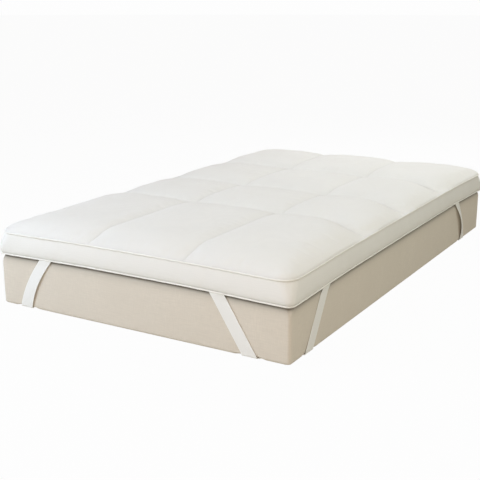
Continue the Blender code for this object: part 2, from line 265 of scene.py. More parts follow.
def round_corners(x, y, inset, radius, zone):
    """Moves the points of a square-cornered grid onto an outline with round corners. Each corner
    takes up the last part of the grid, as wide as zone."""
    share_x = (np.abs(x) - (HALF_X - zone)) / zone
    share_y = (np.abs(y) - (HALF_Y - zone)) / zone
    both = np.minimum(share_x, share_y) > 0.0
    longest = np.maximum(share_x, share_y)
    reach = np.where(both, longest / np.maximum(np.hypot(share_x, share_y), TINY), 1.0)
    change = zone - inset - radius
    moved = []
    for value, share, half in ((x, share_x, HALF_X), (y, share_y, HALF_Y)):
        ease = smoothstep((np.abs(value) - (half - zone - PLAN_EASE)) / PLAN_EASE)
        straight = np.abs(value) + change * ease
        turned = half - inset - radius + share * reach * radius
        moved.append(np.copysign(np.where(share >= 0.0, turned, straight), value))
    return moved


def on_plan(x, y, inset, radius):
    y = y + cross_seam_shift(x, y)
    x, y = round_corners(x, y, inset, radius, TOP_CORNER_RADIUS)
    pull_x = side_pull(y / HALF_Y) * (x / HALF_X) ** 4
    pull_y = side_pull(x / HALF_X) * (y / HALF_Y) ** 4
    return x - np.copysign(pull_x, x), y - np.copysign(pull_y, y)


def corner_nearness(x, y, reach):
    """Goes from 1 at a corner of the bed to 0 at a distance from it along either edge."""
    return 1.0 - smoothstep(np.maximum(HALF_X - np.abs(x), HALF_Y - np.abs(y)) / reach)


def top_seam_z(x, y):
    return TOP_SEAM_Z - TOP_SEAM_SAG * corner_nearness(x, y, SAG_REACH)


def bottom_seam_z(x, y):
    return BOTTOM_SEAM_Z - BOTTOM_SEAM_SAG * corner_nearness(x, y, SAG_REACH)


# Quilted top.


def nearest(values, seams):
    """Distance from the nearest seam, and that seam's place in the list."""
    distances = np.abs(values[..., None] - np.array(seams))
    return distances.min(axis=-1), distances.argmin(axis=-1)


def off_sewing(x, y):
    """Distance from the nearest quilting seam or edge of the top."""
    off_seam = np.minimum(nearest(x, LONG_SEAMS_X)[0], nearest(y, CROSS_SEAMS_Y)[0])
    return np.minimum(off_seam, np.minimum(HALF_X - np.abs(x), HALF_Y - np.abs(y)))


def rise_from_border(x, y):
    total = -1.0
    for off_edge in (HALF_X - np.abs(x), HALF_Y - np.abs(y)):
        rise = np.maximum(plump(off_edge / CROWN_WIDTH), LEAST_RISE)
        total = total + rise**-CORNER_FULLNESS
    return total ** (-1.0 / CORNER_FULLNESS)


def crown_height(x, y):
    long_seam = 1.0 - plump(nearest(x, LONG_SEAMS_X)[0] / SEAM_WIDTH)
    cross_seam = 1.0 - plump(nearest(y, CROSS_SEAMS_Y)[0] / SEAM_WIDTH)
    dive = 1.0 + SEAM_DIVE * np.maximum(long_seam, cross_seam)
    crown = np.array(ROW_CROWNS)[np.searchsorted(CROSS_SEAMS_Y, y)]
    filled = crown - (crown - CROSS_SEAM_HEIGHT) * cross_seam - LONG_SEAM_DEPTH * long_seam
    return filled * rise_from_border(x, y) ** dive


def top_surface(x, y):
    """Points of the quilted top, without its gathers."""
    plan_x, plan_y = on_plan(x, y, ROLL_INSET, TOP_CORNER_RADIUS)
    z = top_seam_z(plan_x, plan_y) + ROLL_LIFT + crown_height(x, y)
    return np.stack([plan_x, plan_y, z], axis=-1)


def fill_unevenness(x, y):
    (bend_x, rate_y), (bend_y, rate_x) = FILL_BENDS
    total = np.zeros_like(x)
    for length_x, length_y, turn, height in FILL_WAVES:
        across = np.sin(math.tau * x / length_x + turn + bend_x * np.sin(rate_y * y + turn))
        along = np.sin(math.tau * y / length_y + 2.0 * turn + bend_y * np.sin(rate_x * x - turn))
        total += height * across * along
    return total


def top_detail(x, y):
    """Height of the gathers and unevenness over the plain quilted top."""
    off_long, long_seam = nearest(x, LONG_SEAMS_X)
    off_cross, cross_seam = nearest(y, CROSS_SEAMS_Y)
    side_of_long = np.sign(x - np.array(LONG_SEAMS_X)[long_seam])
    side_of_cross = np.sign(y - np.array(CROSS_SEAMS_Y)[cross_seam])
    long_turn = LONG_SEAM_TURN + NEXT_SEAM_TURN * long_seam + side_of_long
    cross_turn = CROSS_SEAM_TURN + NEXT_SEAM_TURN * cross_seam + side_of_cross
    detail = GATHER_SIZE * gathers(off_long, y, long_turn)
    detail += GATHER_SIZE * gathers(off_cross, x, cross_turn)
    detail += GATHER_SIZE * gathers(HALF_X - np.abs(x), y, SIDE_TURN + np.sign(x))
    detail += GATHER_SIZE * gathers(HALF_Y - np.abs(y), x, END_TURN + np.sign(y))
    return detail + fill_unevenness(x, y) * plump(off_sewing(x, y) / CALM_WIDTH)


def along_normals(points, detail):
    """Moves a grid of points along its normals."""
    normals = np.cross(np.gradient(points, axis=0), np.gradient(points, axis=1))
    normals /= np.linalg.norm(normals, axis=-1, keepdims=True)
    return points + normals * detail[..., None]


def even_lines(half, seams, step):
    """Grid lines along one axis, even between the seams."""
    stops = [-half, *seams, half]
    lines = {half}
    for low, high in zip(stops, stops[1:]):
        count = round((high - low) / step)
        lines |= {low + (high - low) * i / count for i in range(count)}
    return lines


def grid_lines(half, seams):
    """Even grid lines along one axis, with more beside each seam and at the edge."""
    lines = even_lines(half, seams, GRID_STEP)
    for seam in seams:
        lines |= {seam + side * line for line in SEAM_LINES for side in (-1, 1)}
    for line in EDGE_LINES:
        lines |= {line - half, half - line}
    return np.array(sorted(lines))


# Settling of the quilted top under the pressure of its filling.

CLOTH_STEP = 0.012
CLOTH_FRAMES = 20
CLOTH_SETTINGS = {
    "quality": 6,
    "mass": 0.25,
    "tension_stiffness": 18.0,
    "compression_stiffness": 18.0,
    "shear_stiffness": 8.0,
    "bending_stiffness": 0.2,
    "shrink_min": -0.012,
    "use_pressure": True,
    "uniform_pressure_force": 4.0,
}
CLOTH_CAP = 0.005  # no point moves further
CLOTH_BLUR = 4  # rings of neighbours over which the slow part of the move is averaged
CLOTH_SLOW_SHARE = 0.15  # share kept of the slow part, because the crown is right already
ON_SEWING = 1e-6  # a point nearer than this to a seam or an edge is held


def settled(start, held):
    """Where a grid of cloth settles under the pressure of its filling, held at some points."""
    scene = bpy.context.scene
    mesh = bpy.data.meshes.new("settling_top")
    numbers = np.arange(held.size).reshape(held.shape)
    mesh.from_pydata(start.reshape(-1, 3).tolist(), [], grid_faces(numbers))
    cloth = add_object("settling_top", mesh)
    sewn = cloth.vertex_groups.new(name="sewn")
    sewn.add(numbers[held].tolist(), 1.0, "REPLACE")
    modifier = cloth.modifiers.new("settle", "CLOTH")
    modifier.collision_settings.use_collision = False
    for key, value in CLOTH_SETTINGS.items():
        setattr(modifier.settings, key, value)
    modifier.settings.vertex_group_mass = sewn.name
    modifier.settings.effector_weights.gravity = 0.0
    modifier.point_cache.frame_start = 1
    modifier.point_cache.frame_end = CLOTH_FRAMES
    for frame in range(1, CLOTH_FRAMES + 1):
        scene.frame_set(frame)
    shape = cloth.evaluated_get(bpy.context.evaluated_depsgraph_get()).data
    places = np.empty(held.size * 3)
    shape.vertices.foreach_get("co", places)
    bpy.data.objects.remove(cloth)
    bpy.data.meshes.remove(mesh)
    scene.frame_set(1)
    return places.reshape(start.shape)


def blurred(values, rings):
    """A grid of vectors averaged over its neighbours along both axes."""
    for axis in (0, 1):
        pad = [(rings, rings) if i == axis else (0, 0) for i in range(3)]
        wide = np.pad(values, pad, mode="edge").cumsum(axis=axis)
        count = values.shape[axis]
        after = np.take(wide, range(2 * rings, 2 * rings + count), axis=axis)
        before = np.take(wide, range(count), axis=axis)
        values = (after - before) / (2 * rings)
    return values


def spread(values, places, lines):
    """Values at some places along the last axis, read at the lines of a finer grid."""
    flat = values.reshape(-1, len(places))
    read = np.array([np.interp(lines, places, row) for row in flat])
    return read.reshape(*values.shape[:-1], len(lines))


def settling(lines_x, lines_y):
    """How far the quilted top moves as it settles, at the points of a grid."""
    coarse_x = np.array(sorted(even_lines(HALF_X, LONG_SEAMS_X, CLOTH_STEP)))
    coarse_y = np.array(sorted(even_lines(HALF_Y, CROSS_SEAMS_Y, CLOTH_STEP)))
    x, y = np.meshgrid(coarse_x, coarse_y, indexing="ij")
    held = off_sewing(x, y) < ON_SEWING
    start = top_surface(x, y)
    move = settled(start, held) - start
    length = np.linalg.norm(move, axis=-1, keepdims=True)
    move *= CLOTH_CAP * np.tanh(length / CLOTH_CAP) / np.maximum(length, TINY)
    slow = blurred(move, CLOTH_BLUR)
    move = move - slow * (1.0 - CLOTH_SLOW_SHARE)
    move[held] = 0.0
    by_x = spread(move.transpose(1, 2, 0), coarse_x, lines_x)
    by_both = spread(by_x.transpose(2, 1, 0), coarse_y, lines_y)
    return by_both.transpose(0, 2, 1)


# The topper as one closed mesh.


def band_row(row, along):
    """One ring of the border band: inset, share of its height, lift, and painted shade beside a
    seam.
    """
    height = TOP_SEAM_Z - BOTTOM_SEAM_Z
    share = 0.5 - 0.5 * math.cos(math.pi * row / BORDER_ROWS)
    from_top, from_bottom = share * height, (1.0 - share) * height
    start = DITCH_INSET + (BAND_END_INSET - DITCH_INSET) * share
    bulge = BORDER_BULGE * belly(share) / belly(BORDER_FULLEST)
    gather = gathers(from_top, along, BAND_TOP_TURN) + gathers(from_bottom, along, BAND_BOTTOM_TURN)
    slow = BAND_WAVE * waves(along / BAND_WAVE_STRETCH, BAND_WAVE_TURN) * math.sin(math.pi * share)
    inset = start - bulge - GATHER_SIZE * gather - slow
    lift = GROOVE_SIZE * share - DITCH_DROP * (1.0 - share)
    seam_shade = BORDER_SEAM_SHADE * math.exp(-min(from_top, from_bottom) / SEAM_SHADE_REACH)
    return inset, share, lift, seam_shade


def border_rings(stations, along):
    """Rings of the topper from its top seam to its base, each with its painted shade beside a seam.
    """
    groove = GROOVE_INSET + GROOVE_SIZE
    rows = [(groove, 0.0, 0.0, BORDER_SEAM_SHADE)]
    rows += [band_row(row, along) for row in range(BORDER_ROWS + 1)]
    rows.append((groove, 1.0, 0.0, 1.0))
    for inset, share, lift, seam_shade in rows:
        radius = TOP_CORNER_RADIUS + (BOTTOM_CORNER_RADIUS - TOP_CORNER_RADIUS) * share
        x, y = on_plan(*stations, inset, radius)
        z = top_seam_z(x, y) * (1 - share) + bottom_seam_z(x, y) * share
        yield (x, y, z + lift), seam_shade
    for inset, fall in BASE_TUCK:
        x, y = on_plan(*stations, inset, BOTTOM_CORNER_RADIUS)
        yield (x, y, BASE_Z + (bottom_seam_z(x, y) - GROOVE_SIZE - BASE_Z) * fall), 0.0


def make_topper(material):
    lines_x = grid_lines(HALF_X, LONG_SEAMS_X)
    lines_y = grid_lines(HALF_Y, CROSS_SEAMS_Y)
    x, y = np.meshgrid(lines_x, lines_y, indexing="ij")
    top = along_normals(top_surface(x, y), top_detail(x, y))
    top = top + settling(lines_x, lines_y)
    stations = rim(x), rim(y)
    points = [top.reshape(-1, 3)]
    # Painted shade beside the quilting seams and the top's edge, kept in the attribute seam.
    nearness = [np.exp(-off_sewing(x, y) / SEAM_SHADE_REACH).ravel()]
    for ring, seam_shade in border_rings(stations, loop_length(rim(top))):
        points.append(np.stack(ring, axis=-1))
        nearness.append(np.full(len(points[-1]), seam_shade))
    points = np.concatenate(points)
    grid = np.arange(x.size).reshape(x.shape)
    rings = [rim(grid), *np.arange(x.size, len(points)).reshape(-1, len(stations[0]))]
    faces = grid_faces(grid) + tube_faces(rings)
    faces.append(rings[-1][::-1].tolist())
    pad = add_mesh("quilted_pad", points, faces, material)
    add_point_value(pad, "seam", np.concatenate(nearness))
    return pad, stations


# Round welts and stitches.

WELT_SIDES = 12
WELT_UNEVEN = 0.07  # share of the radius
WELT_UNEVEN_STRETCH = 1.3
WELT_SWAY = 0.0003
WELT_SWAY_STRETCH = 2.5
WELT_SWAY_TURN = 2.0


def make_welt(name, stations, seam_z, inset, radius, material, turn):
    """A fabric-covered cord round the topper, slightly uneven where the stitches hold it."""
    x, y = on_plan(*stations, inset, radius)
    path = np.stack([x, y, seam_z(x, y)], axis=-1)
    ahead = np.roll(path, -1, axis=0) - np.roll(path, 1, axis=0)
    outward = np.stack([ahead[:, 1], -ahead[:, 0], np.zeros(len(path))], axis=-1)
    outward /= np.linalg.norm(outward, axis=1, keepdims=True)
    along = loop_length(path)
    thickness = WELT_RADIUS * (1.0 + WELT_UNEVEN * waves(along / WELT_UNEVEN_STRETCH, turn))
    sway = WELT_SWAY * waves(along / WELT_SWAY_STRETCH, turn + WELT_SWAY_TURN)
    angles = (math.tau * np.arange(WELT_SIDES) / WELT_SIDES)[None, :, None]
    ring = outward[:, None, :] * np.cos(angles) + UP * np.sin(angles)
    centre = path + UP * sway[:, None]
    points = centre[:, None, :] + ring * thickness[:, None, None]
    numbers = np.arange(len(path) * WELT_SIDES).reshape(len(path), WELT_SIDES)
    faces = tube_faces([*numbers, numbers[0]])
    return add_mesh(name, points.reshape(-1, 3), faces, material, smooth_angle=80.0)


STITCH_PITCH = 0.0040
STITCH_LENGTH = 0.0031
STITCH_RADIUS = 0.00035
STITCH_SIDES = 5
STITCH_MARGIN = 0.006  # a row stops this far from the topper's edge
STITCH_PATH_POINTS = (600, 900)  # across the bed, along the bed
# Columns: place along the stitch from -1 to 1, share of the radius, sink in radii.
STITCH_RINGS = ((-1.0, 0.45, 1.1), (-0.55, 1.0, 0.1), (0.55, 1.0, 0.1), (1.0, 0.45, 1.1))


def stitch_points(path):
    """Points of a row of stitches along a path, one small bent tube for each."""
    along = path_length(path)
    count = int(along[-1] / STITCH_PITCH)
    middles = (np.arange(count) + 0.5) * along[-1] / count

    def at(places):
        return np.stack([np.interp(places, along, path[:, k]) for k in range(3)], axis=-1)

    centre = at(middles)
    ahead = at(middles + STITCH_LENGTH / 2) - at(middles - STITCH_LENGTH / 2)
    ahead /= np.linalg.norm(ahead, axis=1, keepdims=True)
    aside = np.cross(ahead, UP)
    aside /= np.linalg.norm(aside, axis=1, keepdims=True)
    up = np.cross(aside, ahead)
    angles = math.tau * np.arange(STITCH_SIDES) / STITCH_SIDES
    rings = []
    for place, share, sink in STITCH_RINGS:
        radius = STITCH_RADIUS * share
        middle = centre + ahead * (place * STITCH_LENGTH / 2) - up * (sink * STITCH_RADIUS)
        for angle in angles:
            sideways, upwards = radius * math.cos(angle), radius * math.sin(angle)
            rings.append(middle + aside * sideways + up * upwards)
    return np.stack(rings, axis=1)


def make_stitches(name, paths, material):
    """One piece with every stitch of several rows."""
    stitches = np.concatenate([stitch_points(path) for path in paths])
    count, per_stitch = stitches.shape[:2]
    numbers = np.arange(per_stitch).reshape(len(STITCH_RINGS), STITCH_SIDES)
    starts = np.arange(count) * per_stitch
    faces = (np.array(tube_faces(numbers)) + starts[:, None, None]).reshape(-1, 4).tolist()
    for start in starts:
        faces.append((numbers[0] + start).tolist())
        faces.append((numbers[-1][::-1] + start).tolist())
    return add_mesh(name, stitches.reshape(-1, 3), faces, material, smooth_angle=80.0)


def quilting_paths():
    """Paths of the quilting stitches, along the bottoms of the seams."""
    count_x, count_y = STITCH_PATH_POINTS
    along_x = np.linspace(-HALF_X + STITCH_MARGIN, HALF_X - STITCH_MARGIN, count_x)
    along_y = np.linspace(-HALF_Y + STITCH_MARGIN, HALF_Y - STITCH_MARGIN, count_y)
    paths = [top_surface(np.full_like(along_y, seam), along_y) for seam in LONG_SEAMS_X]
    paths += [top_surface(along_x, np.full_like(along_x, seam)) for seam in CROSS_SEAMS_Y]
    return [path + UP * STITCH_RADIUS for path in paths]


# Straps.

LEG_ROWS = 56
BEND_ROWS = 8
RUN_ROWS = 14
RUN_SHARES = (0.25, 0.75)
SELVEDGE = 0.0030
SELVEDGE_FALL = 0.0006
# Columns: distance from the webbing's edge, share of its plain thickness.
SELVEDGE_PROFILE = (
    (0.0, 0.30),
    (0.0005, 0.80),
    (0.0012, 1.10),
    (SELVEDGE - SELVEDGE_FALL, 1.10),
    (SELVEDGE, 0.80),
)
RIB_PITCH = 0.0026
RIB_COLUMNS = 4
RIB_HEIGHT = 0.00016


def leg_point(signs, on_end, reach, out, z):
    """A point so far from the corner and out from the bed's outline, on an end face or a side."""
    x, y = (HALF_X - reach, HALF_Y + out) if on_end else (HALF_X + out, HALF_Y - reach)
    return np.array((signs[0] * x, signs[1] * y, z))


def leg_reach(top_reach, bottom_reach, bow, share):
    """Distance from the corner to a leg's middle, at a share of the way up from its lower end."""
    return bottom_reach + (top_reach - bottom_reach) * share - bow * 4 * share * (1 - share)


def leg_slant(top_reach, bottom_reach):
    """How many times wider than its webbing a leg is in a level cut."""
    return math.hypot(top_reach - bottom_reach, BOTTOM_SEAM_Z) / BOTTOM_SEAM_Z


def leg_rows(top_reach, bottom_reach, bow):
    """Places down a leg. Columns: distance from the corner, share of the way up, bend below."""
    rows = []
    for share in np.linspace(1.0, 0.0, LEG_ROWS):
        rows.append((leg_reach(top_reach, bottom_reach, bow, share), share, 0.0))
    for step in range(1, BEND_ROWS + 1):
        rows.append((bottom_reach, 0.0, math.radians(90) * step / BEND_ROWS))
    return rows


def leg_section(signs, on_end, row, half_cut, lift):
    """Corners of a leg's level cut: far outer, near outer, near inner, far inner."""
    middle, share, bend = row
    bend_z = STRAP_CLEARANCE + STRAP_THICKNESS + STRAP_BEND_RADIUS
    tuck = smoothstep((share - STRAP_TUCK_SHARE) / (1.0 - STRAP_TUCK_SHARE))
    corners = []
    for side, depth in ((1, 1), (-1, 1), (-1, 0), (1, 0)):
        reach = middle + side * half_cut
        x, y, _ = leg_point(signs, on_end, reach, 0.0, 0.0)
        pull = side_pull(x / HALF_X if on_end else y / HALF_Y)
        top_z = bottom_seam_z(x, y) - WELT_RADIUS - CONTACT_GAP
        arm = STRAP_BEND_RADIUS + depth * STRAP_THICKNESS
        out = STRAP_OFF_EDGE - STRAP_BEND_RADIUS + arm * math.cos(bend)
        out -= tuck * (STRAP_OFF_EDGE + PIPING_INSET + pull)
        out += lift * 4 * share * (1 - share) * (1 + side) / 2
        z = bend_z + (top_z - bend_z) * share - arm * math.sin(bend)
        corners.append(leg_point(signs, on_end, reach, out, z))
    return np.array(corners)


def leg_sections(signs, on_end, top_reach, bottom_reach, bow, lift):
    half_cut = STRAP_WIDTH / 2 * leg_slant(top_reach, bottom_reach)
    rows = leg_rows(top_reach, bottom_reach, bow)
    return [leg_section(signs, on_end, row, half_cut, lift) for row in rows]


def run_path(signs, end_bottom, side_bottom):
    """Start, end and direction of a strap's run under the mattress."""
    out = STRAP_OFF_EDGE - STRAP_BEND_RADIUS
    start = leg_point(signs, True, end_bottom, out, 0.0)
    end = leg_point(signs, False, side_bottom, out, 0.0)
    return start, end, (end - start) / np.linalg.norm(end - start)


def run_sections(signs, end_bottom, side_bottom):
    start, end, along = run_path(signs, end_bottom, side_bottom)
    away = np.array((-along[1], along[0], 0.0)) * (STRAP_WIDTH / 2)
    if away @ (*signs, 0.0) > 0.0:
        away = -away
    outer = UP * STRAP_CLEARANCE
    inner = UP * (STRAP_CLEARANCE + STRAP_THICKNESS)
    sections = []
    for share in RUN_SHARES:
        middle = start + (end - start) * share
        near, far = middle - away, middle + away
        sections.append(np.array([far + outer, near + outer, near + inner, far + inner]))
    return sections


def filled_in(first, last):
    """Sections strictly between two others."""
    return [first + (last - first) * i / RUN_ROWS for i in range(1, RUN_ROWS)]


def webbing_profile():
    """Places across the webbing from 0 to 1, and half its thickness at each, in metres."""
    half = STRAP_THICKNESS / 2
    places = [(place, share * half) for place, share in SELVEDGE_PROFILE]
    mirrored = [(STRAP_WIDTH - place, value) for place, value in reversed(places)]
    ribbed = STRAP_WIDTH - 2 * SELVEDGE
    columns = round(ribbed / RIB_PITCH) * RIB_COLUMNS
    for i in range(1, columns):
        wave = 0.5 - 0.5 * math.cos(math.tau * i / RIB_COLUMNS)
        places.append((SELVEDGE + ribbed * i / columns, half - RIB_HEIGHT + RIB_HEIGHT * wave))
    table = np.array(places + mirrored)
    return table[:, 0] / STRAP_WIDTH, table[:, 1]


def make_webbing(strap, material):
    name, signs, end_top, end_bottom, side_top, side_bottom, bow, end_lift, side_lift = strap
    sections = leg_sections(signs, True, end_top, end_bottom, bow, end_lift)
    last = leg_sections(signs, False, side_top, side_bottom, bow, side_lift)[::-1]
    for section in run_sections(signs, end_bottom, side_bottom):
        sections += [*filled_in(sections[-1], section), section]
    sections = np.array([*sections, *filled_in(sections[-1], last[0]), *last])
    across, half = webbing_profile()
    share = across[None, :, None]
    outer = sections[:, None, 0] * (1 - share) + sections[:, None, 1] * share
    inner = sections[:, None, 3] * (1 - share) + sections[:, None, 2] * share
    middle = (outer + inner) / 2
    normal = (outer - inner) / np.linalg.norm(outer - inner, axis=-1, keepdims=True)
    swell = normal * half[None, :, None]
    loop = np.concatenate([middle + swell, (middle - swell)[:, ::-1]], axis=1)
    rows, columns = loop.shape[:2]
    numbers = np.arange(rows * columns).reshape(rows, columns)
    faces = tube_faces(numbers)
    faces.append(numbers[0].tolist())
    faces.append(numbers[-1][::-1].tolist())
    webbing = add_mesh("webbing_" + name, loop.reshape(-1, 3), faces, material)
    if signs[0] == signs[1]:
        webbing.data.flip_normals()
    along = path_length(sections.mean(axis=1))
    both = np.concatenate([across, across[::-1]]) * STRAP_WIDTH
    add_point_value(webbing, "along", np.repeat(along, columns))
    add_point_value(webbing, "across", np.tile(both, rows))
    return webbing, along[-1]


# Mattress.

MATTRESS_STRAIGHT_TOP = MATTRESS_HEIGHT - MATTRESS_TOP_ROUND  # the sides are upright to here
MATTRESS_STEP = 0.012
MATTRESS_SIDE_ROWS = 12
MATTRESS_SHADE_ROWS = 8
PAINTED_SHADE_START = 0.003  # the painted contact shade is darkest down to here below the piping
SHADE_REACH = 0.009
SHADE_ZONE = 3 * SHADE_REACH
MATTRESS_ROUND_ROWS = 7
MATTRESS_ZONE = 0.050
SOFT_CORNER_EXTRA = 0.65  # the top edge's rounding grows by this share at a corner
SOFT_CORNER_REACH = 0.100
DENT_DEPTH = 0.0012
DENT_REACH = 0.022
DENT_LOW_EXTRA = 1.0  # a dent gets this share deeper down to the lower edge
DENT_LOW_ZONE = 0.06
DENT_FACE_ZONE = 0.045  # a dent only reaches points this near its leg's face
CHANNEL_ROOM = 0.001
CHANNEL_DEPTH = STRAP_CLEARANCE + STRAP_THICKNESS + CHANNEL_ROOM
CHANNEL_MARGIN = 0.003
CHANNEL_EDGE = 0.012
SIDE_WAVE = 0.0006
SIDE_WAVE_STRETCH = 9.0
SIDE_WAVE_TURNS = (3.0, 1.0, 2.0)  # plain, by the side in X, by the side in Y
SIDE_WAVE_SKEW = 1.7


def quarter_round(radius):
    """Places along a quarter round, each as its distances from the round's two faces."""
    for step in range(MATTRESS_ROUND_ROWS + 1):
        angle = math.radians(90) * step / MATTRESS_ROUND_ROWS
        yield radius * (1.0 - math.sin(angle)), radius * (1.0 - math.cos(angle))


def mattress_rings():
    """Inset and height of the mattress's rings, from its top face down to its underside."""
    rings = [(inset, MATTRESS_HEIGHT - fall) for inset, fall in quarter_round(MATTRESS_TOP_ROUND)]
    for step in range(1, MATTRESS_SHADE_ROWS):
        rings.append((0.0, MATTRESS_STRAIGHT_TOP - SHADE_ZONE * step / MATTRESS_SHADE_ROWS))
    top = MATTRESS_STRAIGHT_TOP - SHADE_ZONE
    for step in range(MATTRESS_SIDE_ROWS):
        rings.append((0.0, top + (MATTRESS_BOTTOM_ROUND - top) * step / MATTRESS_SIDE_ROWS))
    return rings + [(inset, z) for z, inset in quarter_round(MATTRESS_BOTTOM_ROUND)]


def strap_dent(x, y, z):
    """Depth to which the straps press the mattress's sides in at some points."""
    share = np.clip(z / BOTTOM_SEAM_Z, 0.0, 1.0)
    dent = np.zeros_like(x)
    for _, signs, end_top, end_bottom, side_top, side_bottom, bow, *_ in STRAPS:
        off_side, off_end = HALF_X - signs[0] * x, HALF_Y - signs[1] * y
        legs = (
            (off_side, off_end, end_top, end_bottom),
            (off_end, off_side, side_top, side_bottom),
        )
        for reach, off_face, top_reach, bottom_reach in legs:
            slant = leg_slant(top_reach, bottom_reach)
            off_middle = np.abs(reach - leg_reach(top_reach, bottom_reach, bow, share))
            off = (off_middle - STRAP_WIDTH / 2 * slant) / slant
            depth = DENT_DEPTH * (1.0 + DENT_LOW_EXTRA * smoothstep(1.0 - z / DENT_LOW_ZONE))
            near = (1.0 - smoothstep(off / DENT_REACH)) * (off_face < DENT_FACE_ZONE)
            dent = np.maximum(dent, depth * near)
    return dent


def channel_rise(x, y):
    """Height to which the straps press the mattress's underside up at some points."""
    rise = np.zeros_like(x)
    for _, signs, _, end_bottom, _, side_bottom, *_ in STRAPS:
        start, _, along = run_path(signs, end_bottom, side_bottom)
        off = np.abs((x - start[0]) * -along[1] + (y - start[1]) * along[0])
        within = (x * signs[0] > 0) & (y * signs[1] > 0)
        near = 1.0 - smoothstep((off - STRAP_WIDTH / 2 - CHANNEL_MARGIN) / CHANNEL_EDGE)
        rise = np.maximum(rise, CHANNEL_DEPTH * near * within)
    return rise


def side_unevenness(x, y, z):
    """How far the mattress's sides stand in or out from a true plane."""
    plain, by_x, by_y = SIDE_WAVE_TURNS
    turn = plain + by_x * np.sign(x) + by_y * np.sign(y)
    slow = SIDE_WAVE * waves((x + SIDE_WAVE_SKEW * y) / SIDE_WAVE_STRETCH, turn)
    return slow * np.sin(math.pi * np.clip(z / MATTRESS_HEIGHT, 0, 1))


def make_mattress(material):
    lines_x = np.linspace(-HALF_X, HALF_X, round(BED_WIDTH / MATTRESS_STEP) + 1)
    lines_y = np.linspace(-HALF_Y, HALF_Y, round(BED_LENGTH / MATTRESS_STEP) + 1)
    x, y = np.meshgrid(lines_x, lines_y, indexing="ij")
    stations = rim(x), rim(y)
    softness = SOFT_CORNER_EXTRA * corner_nearness(*stations, SOFT_CORNER_REACH)
    points, painted_shades = [], []
    for inset, z in mattress_rings():
        radius = MATTRESS_CORNER_RADIUS + inset / 2
        place = MATTRESS_INSET + inset
        fall = min(MATTRESS_HEIGHT - z, MATTRESS_TOP_ROUND * z / MATTRESS_STRAIGHT_TOP)
        height = z - softness * fall
        if z > MATTRESS_STRAIGHT_TOP:
            place = place + softness * inset
            radius = radius + softness * inset / 2
        ring = round_corners(*stations, place, radius, MATTRESS_ZONE)
        place = place - (side_unevenness(*ring, height) - strap_dent(*ring, height))
        ring = round_corners(*stations, place, radius, MATTRESS_ZONE)
        low = smoothstep(1.0 - z / MATTRESS_BOTTOM_ROUND)
        height = height + channel_rise(*ring) * low
        points.append(np.stack([*ring, height], axis=-1))
        # Painted contact shade: the cover darkens just below the topper's lower piping, where shade
        # falls.
        below = bottom_seam_z(*ring) - WELT_RADIUS - PAINTED_SHADE_START - height
        painted_shades.append(np.exp(-np.maximum(below, 0.0) / SHADE_REACH))
    count = len(points) * len(stations[0])
    rings = np.arange(count).reshape(len(points), -1)
    faces = tube_faces(rings)
    faces.append(rings[0].tolist())
    radius = MATTRESS_CORNER_RADIUS + MATTRESS_BOTTOM_ROUND / 2
    place = MATTRESS_INSET + MATTRESS_BOTTOM_ROUND
    under = round_corners(x, y, place, radius, MATTRESS_ZONE)
    under = np.stack([*under, channel_rise(*under)], axis=-1)
    numbers = np.arange(x.size).reshape(x.shape)
    edge = rim(numbers)
    inside = np.ones(x.shape, bool)
    inside.flat[edge] = False
    numbers.flat[edge] = rings[-1]
    numbers[inside] = count + np.arange(inside.sum())
    points.append(under[inside])
    painted_shades.append(np.zeros(inside.sum()))
    faces += grid_faces(numbers, upward=False)
    mattress = add_mesh("mattress_block", np.concatenate(points), faces, material)
    add_point_value(mattress, "shade", np.concatenate(painted_shades))
    return mattress


# Materials.

WAVE_REPEATS = 20.0  # a wave texture of scale 1 repeats this often in 2 pi units
WAVE_DETAIL = 1.0
SHEEN_ROUGHNESS = 0.5
SPECULAR = 0.25
# Values of a texture between which a colour goes from one tone to another.
NOISE_RANGE = (0.3, 0.7)
WAVE_RANGE = (0.2, 0.8)
WEAVE_RANGE = (0.4, 2.4)
THREADS_RANGE = (0.12, 0.40)
PAINTED_SEAM_SHADE = 0.30  # how strong the painted shade in the cotton's seams is
PAINTED_CONTACT_SHADE = 0.97  # how strong the painted contact shade on the mattress under the topper is
